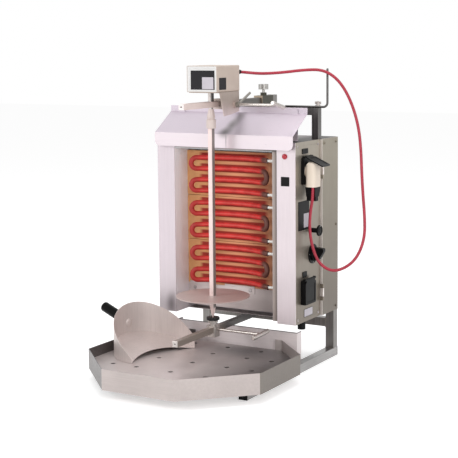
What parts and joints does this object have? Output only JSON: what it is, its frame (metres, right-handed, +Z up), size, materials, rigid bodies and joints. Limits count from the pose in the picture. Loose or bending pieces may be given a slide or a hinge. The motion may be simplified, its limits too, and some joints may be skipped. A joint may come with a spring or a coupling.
{
  "type": "electric skewer grill",
  "caption": "Upright electric skewer grill: a motor-driven vertical spit before a heating bay, with a pull-out octagonal drip tray and a fat scoop",
  "frame": {"origin": "on the floor, below the middle of the grill without its lead", "axes": "+Z up, -Y the front where the tray pulls out, +X the side with the controls"},
  "size_m": [0.7302, 0.7236, 0.836],
  "materials": {
    "frame_steel": "satin square tube",
    "panel_steel": "fine brushed sheet",
    "side_steel": "brushed sheet",
    "tray_steel": "worn brushed sheet",
    "spit_steel": "ground bar",
    "dark_steel": "blackened",
    "beige_paint": "satin coat",
    "motor_paint": "satin coat",
    "board_ceramic": "matt refractory",
    "blanket_fibre": "matt fibre",
    "element_red": "hot sheath",
    "white_ceramic": "glazed",
    "black_plastic": "matt",
    "cream_plastic": "moulded",
    "grey_plastic": "moulded",
    "plate_grey": "bare plate",
    "red_lens": "clear moulded",
    "cord_red": "silicone sheath"
  },
  "bodies": {
    "root": {"base_rails": "frame_steel", "rail_end_caps": "black_plastic", "rear_frame": "frame_steel", "rear_mast": "frame_steel", "lower_arm": "spit_steel", "backsplash_plate": "tray_steel", "left_box_shell": "panel_steel", "control_panel": "side_steel", "cabinet_top": "panel_steel", "cabinet_floor": "panel_steel", "rear_cover": "panel_steel", "bay_liner": "panel_steel", "bay_lower_panel": "side_steel", "ceramic_boards": "board_ceramic", "insulation_blanket": "blanket_fibre", "heating_element_1": "element_red", "heating_element_2": "element_red", "heating_element_3": "element_red", "element_ferrules": "white_ceramic", "retaining_plates": "side_steel", "hood": "panel_steel", "gantry_frame": "frame_steel", "cord_guide_rod": "spit_steel", "upper_arm": "spit_steel", "arm_clamp_block": "beige_paint", "upper_socket_housing": "black_plastic", "lower_socket_housing": "black_plastic", "switch_bodies": "black_plastic", "face_plates": "plate_grey", "indicator_lamp": "red_lens", "terminal_block": "white_ceramic", "mains_gland": "black_plastic", "plug_body": "cream_plastic", "plug_cap": "black_plastic", "motor_cord": "cord_red", "panel_screws": "spit_steel"},
    "side_door": {"rear_side_panel": "side_steel"},
    "wing_bolt": {"wing_bolt": "spit_steel"},
    "arm_screw": {"arm_thumbscrew": "dark_steel"},
    "motor_carriage": {"motor_housing": "motor_paint", "motor_front_panel": "motor_paint", "gear_motor": "dark_steel", "carriage_bracket": "beige_paint"},
    "upper_clamp": {"upper_clamp_screw": "spit_steel"},
    "lock_lever": {"carriage_lever": "spit_steel"},
    "spit": {"spit_bar": "spit_steel", "spit_disc": "spit_steel", "spit_sleeve": "spit_steel", "drive_coupling": "dark_steel"},
    "lower_bearing": {"lower_hub": "spit_steel", "bearing_cup": "dark_steel"},
    "lower_clamp": {"lower_clamp_screw": "spit_steel"},
    "tray": {"tray_pan": "tray_steel"},
    "floor_plate": {"tray_floor_plate": "tray_steel"},
    "scoop": {"scoop_body": "tray_steel", "scoop_handle": "black_plastic"},
    "regulator": {"regulator_knob": "black_plastic"},
    "rotary_switch": {"rotary_switch_knob": "black_plastic"},
    "upper_lid": {"upper_socket_lid": "black_plastic"},
    "lower_lid": {"lower_socket_lid": "black_plastic"}
  },
  "joints": [
    {"name": "carriage_slide", "type": "slide", "parent": "root", "child": "motor_carriage", "axis": [0, 1, 0], "range_m": [-0.1, 0.015], "deforming": ["motor_cord"]},
    {"name": "bearing_slide", "type": "slide", "parent": "root", "child": "lower_bearing", "axis": [0, 1, 0], "range_m": [-0.1, 0.015]},
    {"name": "spit_spin", "type": "hinge", "parent": "motor_carriage", "child": "spit", "pos_m": [0.03442, 0.0078, 0.7635], "axis": [0, 0, 1], "continuous": true},
    {"name": "upper_clamp_turn", "type": "hinge", "parent": "motor_carriage", "child": "upper_clamp", "pos_m": [0.21442, 0.0518, 0.731], "axis": [1, 0, 0], "range_deg": [0, 270]},
    {"name": "lower_clamp_turn", "type": "hinge", "parent": "lower_bearing", "child": "lower_clamp", "pos_m": [0.17942, 0.0128, 0.119], "axis": [1, 0, 0], "range_deg": [0, 270]},
    {"name": "lock_lever_swing", "type": "hinge", "parent": "motor_carriage", "child": "lock_lever", "pos_m": [0.08872, 0.0518, 0.731], "axis": [1, 0, 0], "range_deg": [-30, 12]},
    {"name": "arm_screw_turn", "type": "hinge", "parent": "root", "child": "arm_screw", "pos_m": [0.03442, 0.3018, 0.765], "axis": [0, 0, 1], "range_deg": [0, 270]},
    {"name": "wing_bolt_turn", "type": "hinge", "parent": "root", "child": "wing_bolt", "pos_m": [0.24442, 0.2288, 0.7265], "axis": [0, 0, 1], "range_deg": [0, 270]},
    {"name": "regulator_turn", "type": "hinge", "parent": "root", "child": "regulator", "pos_m": [0.28142, 0.1678, 0.386], "axis": [1, 0, 0], "range_deg": [-270, 0]},
    {"name": "rotary_switch_turn", "type": "hinge", "parent": "root", "child": "rotary_switch", "pos_m": [0.28842, 0.1778, 0.3195], "axis": [1, 0, 0], "range_deg": [-135, 0]},
    {"name": "upper_lid_swing", "type": "hinge", "parent": "root", "child": "upper_lid", "pos_m": [0.26112, 0.1338, 0.591], "axis": [0, -1, 0], "range_deg": [0, 60], "stiffness_Nm_per_rad": 0.01, "springref_deg": -63.03},
    {"name": "lower_lid_swing", "type": "hinge", "parent": "root", "child": "lower_lid", "pos_m": [0.26512, 0.1365, 0.258], "axis": [0, -1, 0], "range_deg": [0, 80], "stiffness_Nm_per_rad": 0.01, "springref_deg": -17.19},
    {"name": "side_door_swing", "type": "hinge", "parent": "root", "child": "side_door", "pos_m": [0.26182, 0.2248, 0.204], "axis": [0, 0, -1], "range_deg": [0, 85]},
    {"name": "tray_slide", "type": "slide", "parent": "root", "child": "tray", "axis": [0, -1, 0], "range_m": [0, 0.25]},
    {"name": "floor_plate_lift", "type": "slide", "parent": "tray", "child": "floor_plate", "axis": [0, 0, 1], "range_m": [0, 0.035]},
    {"name": "scoop_lift", "type": "slide", "parent": "floor_plate", "child": "scoop", "axis": [0, 0, 1], "range_m": [0, 0.06]}
  ],
  "couplings": [
    {"joint": "bearing_slide", "follows": "carriage_slide", "ratio": 1}
  ]
}
